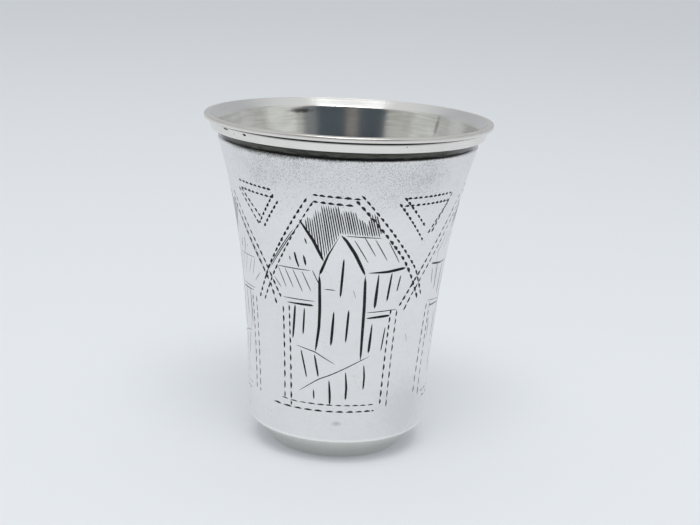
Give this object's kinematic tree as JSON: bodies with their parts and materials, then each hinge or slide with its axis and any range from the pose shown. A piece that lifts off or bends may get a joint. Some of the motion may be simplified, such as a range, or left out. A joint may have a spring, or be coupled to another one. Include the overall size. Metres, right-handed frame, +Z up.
{
  "type": "kiddush cup",
  "caption": "Small flared silver cup with a chamfered foot, a turned-out lip, a grooved neck and engraved house panels.",
  "frame": {"origin": "middle of the underside, on the surface that the cup stands on", "axes": "+Z up through the middle of the mouth; the middle of one engraved panel faces -Y"},
  "size_m": [0.043, 0.043, 0.0504],
  "materials": {
    "silver": "satin silver outside with darkened engraving and a darkened groove under the band, polished band, lip and bowl"
  },
  "bodies": {
    "root": {"cup": "silver"}
  },
  "joints": []
}
